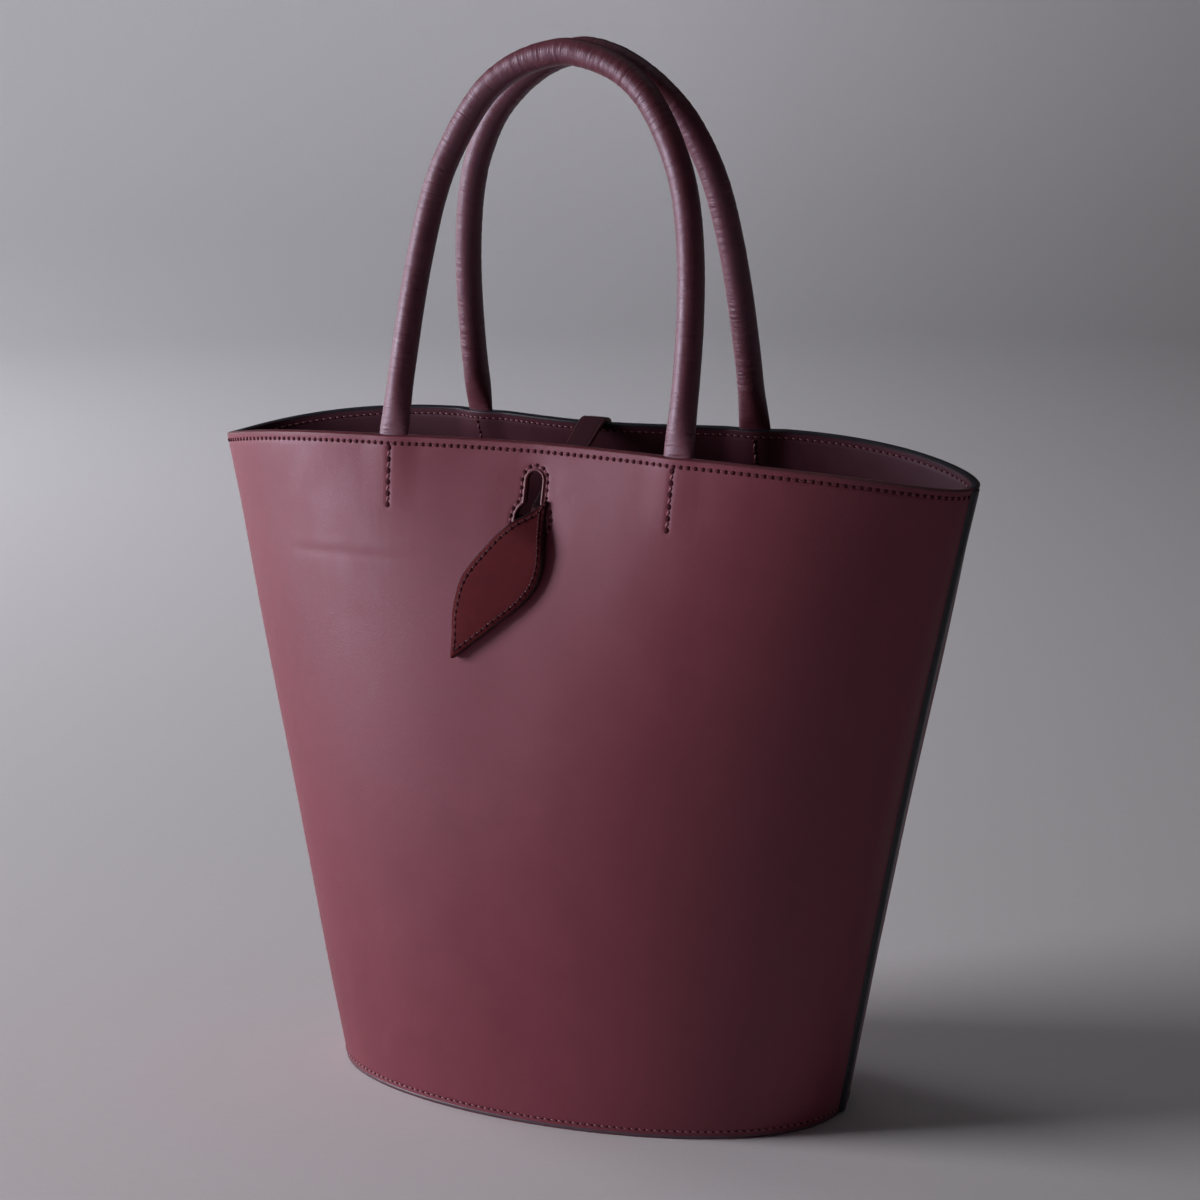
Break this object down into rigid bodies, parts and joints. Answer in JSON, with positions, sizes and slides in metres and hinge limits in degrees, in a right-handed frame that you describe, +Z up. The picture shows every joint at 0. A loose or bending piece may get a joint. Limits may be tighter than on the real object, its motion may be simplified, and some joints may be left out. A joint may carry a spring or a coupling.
{
  "type": "tote bag",
  "caption": "Open leather bucket tote with an oval base, rolled handles, an inner facing and a strap that passes through a keyhole and ends in a leaf.",
  "frame": {"origin": "middle of the base, on the floor that the bag stands on", "axes": "+Z up, X along the width of the mouth, and the front, with the keyhole and the leaf, faces -Y"},
  "size_m": [0.33, 0.1327, 0.4227],
  "materials": {
    "outer_leather": "semi-gloss burgundy leather, fine grain",
    "facing_leather": "satin plum leather, flesh side smoothed",
    "trim_leather": "semi-gloss burgundy leather with painted edges"
  },
  "bodies": {
    "root": {"front_panel": "outer_leather", "back_panel": "outer_leather", "front_facing": "facing_leather", "back_facing": "facing_leather", "base_panel": "facing_leather", "front_handle": "trim_leather", "back_handle": "trim_leather", "closure_strap": "trim_leather"}
  },
  "joints": []
}
